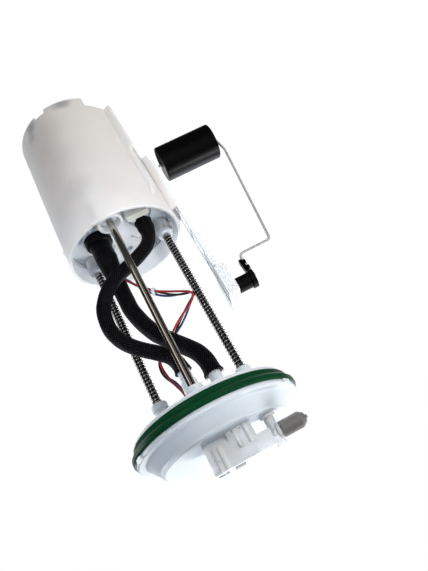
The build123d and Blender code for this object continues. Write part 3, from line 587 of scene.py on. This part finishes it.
def windSpring(name, coil, centre, low, high, turns, climbAt):
    # the wire's own line runs from low to high; climbAt(turn) shares out the rise
    steps = int(turns * coil["stepsPerTurn"])
    line = []
    for i in range(steps + 1):
        turn = turns * i / steps
        x = centre[0] + coil["radius"] * cos(tau * turn)
        y = centre[1] + coil["radius"] * sin(tau * turn)
        line.append(Vector((x, y, low + (high - low) * climbAt(turn) / climbAt(turns))) * mm)
    obj = tubeMesh(name, line, lambda share, angle, distance: coil["wire"] / 2, wireSides)
    obj.data.materials.append(paints["springSteel"])
    return obj


def makeRodSpring(name, spring):
    wire, pitch, dead = rodCoil["wire"], rodCoil["pitch"], rodCoil["deadTurns"]
    low, high = spring["low"] + wire / 2, spring["high"] - wire / 2
    turns = (high - low) / pitch + 2 * dead * (1 - wire / pitch)

    def climbAt(turn):
        # closed end turns lie one wire apart, the others one pitch apart
        below = min(turn, dead)
        above = max(0.0, turn - (turns - dead))
        return (below + above) * wire + max(0.0, min(turn, turns - dead) - dead) * pitch

    bearing = radians(spring["bearing"])
    centre = (rodCircle * cos(bearing), rodCircle * sin(bearing))
    obj = windSpring(name, rodCoil, centre, low, high, turns, climbAt)
    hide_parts(spring["node"])
    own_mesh(obj)
    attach(obj, "reservoir")


def makeCheckSpring():
    centre, wire = checkCoil["centre"], checkCoil["wire"]
    low, high = checkCoil["low"] + wire / 2, checkCoil["high"] - wire / 2
    turns = checkCoil["turns"]
    obj = windSpring("checkSpringCoil", checkCoil, centre, low, high, turns, lambda turn: turn)
    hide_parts("check_spring")
    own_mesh(obj)
    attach(obj, "reservoir")


for springName, springFacts in rodSprings.items():
    makeRodSpring(springName, springFacts)
makeCheckSpring()
print("pump module: springs wound")

# stage: a floor and a world that are white to the camera and to polished faces, and dimmer to the rest
stageLooks = {"floorLevel": -0.3362, "floorHalf": 3.0, "floorTone": (0.8, 0.8, 0.8), "keep": 0.95,
              "paper": 1.04, "world": 0.22, "sky": (0.88, 0.94, 1.0)}


def seenDirectly(board):
    # 1 for rays from the camera, off a polished face or through a clear one
    path = board.add("ShaderNodeLightPath", {})
    bent = board.maths("MAXIMUM", path.outputs["Is Glossy Ray"], path.outputs["Is Transmission Ray"])
    return board.maths("MAXIMUM", path.outputs["Is Camera Ray"], bent)


def mixShaders(board, output, share, first, second):
    mix = board.add("ShaderNodeMixShader", {"Fac": share, 1: first.outputs[0], 2: second.outputs[0]})
    board.add(output, {"Surface": mix.outputs[0]})


def makeFloor():
    half, level = stageLooks["floorHalf"], stageLooks["floorLevel"]
    corners = [(-half, -half, level), (half, -half, level), (half, half, level), (-half, half, level)]
    floor = meshObject("benchFloor", corners, [(0, 1, 2, 3)], False)
    board = Board(bpy.data.materials.new("benchWhite"))
    board.nodes.clear()
    share = board.maths("MULTIPLY", seenDirectly(board), stageLooks["keep"])
    diffuse = board.add("ShaderNodeBsdfDiffuse", {"Color": (*stageLooks["floorTone"], 1)})
    white = board.add("ShaderNodeEmission", {"Color": (1, 1, 1, 1), "Strength": stageLooks["paper"]})
    mixShaders(board, "ShaderNodeOutputMaterial", share, diffuse, white)
    floor.data.materials.append(board.owner)


def makeWorld():
    board = Board(bpy.data.worlds.new("studio"))
    board.nodes.clear()
    sky = board.add("ShaderNodeBackground", {"Color": (*stageLooks["sky"], 1),
                                             "Strength": stageLooks["world"]})
    paper = board.add("ShaderNodeBackground", {"Color": (1, 1, 1, 1), "Strength": 1.0})
    mixShaders(board, "ShaderNodeOutputWorld", seenDirectly(board), sky, paper)
    bpy.context.scene.world = board.owner


# dark and bright cards that only polished surfaces see: each panel's start and stop in degrees from the
# front towards +X, then its level
cards = {
    "radius": 0.34, "low": -0.335, "high": 0.45, "steps": 12,
    "panels": {"sideDark": (40, 132, 0.03), "frontBright": (16, 38, 1.3), "frontMid": (-20, 14, 0.22),
               "frontDark": (-76, -22, 0.015), "farMid": (-126, -78, 0.16)},
    "roof": 0.03, "ground": 0.07, "groundGap": 0.00006, "groundHub": (0, 0.05), "groundArc": (-125, 130),
    "cornerStep": 15, "warmth": (1, 0.96, 0.92),
}


def cardMesh(name, verts, faces, level):
    card = meshObject(name, verts, faces, False)
    board = Board(bpy.data.materials.new(name))
    board.nodes.clear()
    colour = [level * tone for tone in cards["warmth"]]
    glow = board.add("ShaderNodeEmission", {"Color": (*colour, 1)})
    board.add("ShaderNodeOutputMaterial", {"Surface": glow.outputs[0]})
    card.data.materials.append(board.owner)
    card.visible_camera = False
    card.visible_diffuse = False
    card.visible_transmission = False
    card.visible_shadow = False


def cardPoint(bearing, height):
    angle = radians(bearing)
    return cards["radius"] * sin(angle), -cards["radius"] * cos(angle), height


def standCards():
    for name, (start, stop, level) in cards["panels"].items():
        verts, faces = [], []
        for i in range(cards["steps"] + 1):
            bearing = start + (stop - start) * i / cards["steps"]
            verts += [cardPoint(bearing, cards["low"]), cardPoint(bearing, cards["high"])]
            if i:
                k = 2 * i
                faces.append((k - 2, k, k + 1, k - 1))
        cardMesh(name, verts, faces, level)
    roof = [cardPoint(bearing, cards["high"]) for bearing in range(0, 360, cards["cornerStep"])]
    cardMesh("roofCard", roof, [tuple(range(len(roof)))], cards["roof"])
    level = stageLooks["floorLevel"] + cards["groundGap"]
    start, stop = cards["groundArc"]
    fan = [(*cards["groundHub"], level)]
    fan += [cardPoint(bearing, level) for bearing in range(start, stop + 1, cards["cornerStep"])]
    cardMesh("groundCard", fan, [tuple(range(len(fan)))], cards["ground"])


lampAim = (0, 0, -0.15)
lamps = {
    "topLamp": {"place": (-0.55, 0.45, 0.86), "size": 0.5, "energy": 13.0, "color": (1.0, 0.99, 0.97)},
    "keyLamp": {"place": (-0.62, -0.98, 0.12), "size": 0.6, "energy": 9.5, "color": (1.0, 0.965, 0.92)},
    "edgeLamp": {"place": (0.98, 0.38, -0.10), "size": 0.42, "energy": 7.5, "color": (0.90, 0.95, 1.0)},
    "backLamp": {"place": (-0.05, 0.95, 0.05), "size": 0.7, "energy": 4.5, "color": (0.84, 0.91, 1.0)},
}
# narrow lamps that reach under the flange into the reservoir's mouth
mouthAim = (0.0, 0.022, -0.195)
mouthPlaces = {"mouthRight": (-0.14, -0.36, 0.24), "mouthLeft": (0.16, -0.36, 0.22)}
mouthSpot = {"spot_size": radians(9.5), "spot_blend": 0.8, "shadow_soft_size": 0.09, "energy": 20.0,
             "color": (0.72, 0.83, 1.0)}


def hangLamp(name, kind, aim, place, **settings):
    data = bpy.data.lights.new(name, kind)
    for key, value in settings.items():
        setattr(data, key, value)
    obj = bpy.data.objects.new(name, data)
    bpy.context.scene.collection.objects.link(obj)
    obj.location = place
    obj.rotation_euler = (Vector(aim) - Vector(place)).to_track_quat("-Z", "Y").to_euler()


makeFloor()
makeWorld()
standCards()
for lampName, lamp in lamps.items():
    hangLamp(lampName, "AREA", lampAim, **lamp)
for spotName, spotPlace in mouthPlaces.items():
    hangLamp(spotName, "SPOT", mouthAim, spotPlace, **mouthSpot)
bpy.context.scene.view_settings.view_transform = "Standard"
print("pump module: stage and lamps set")

bpy.context.view_layer.update()
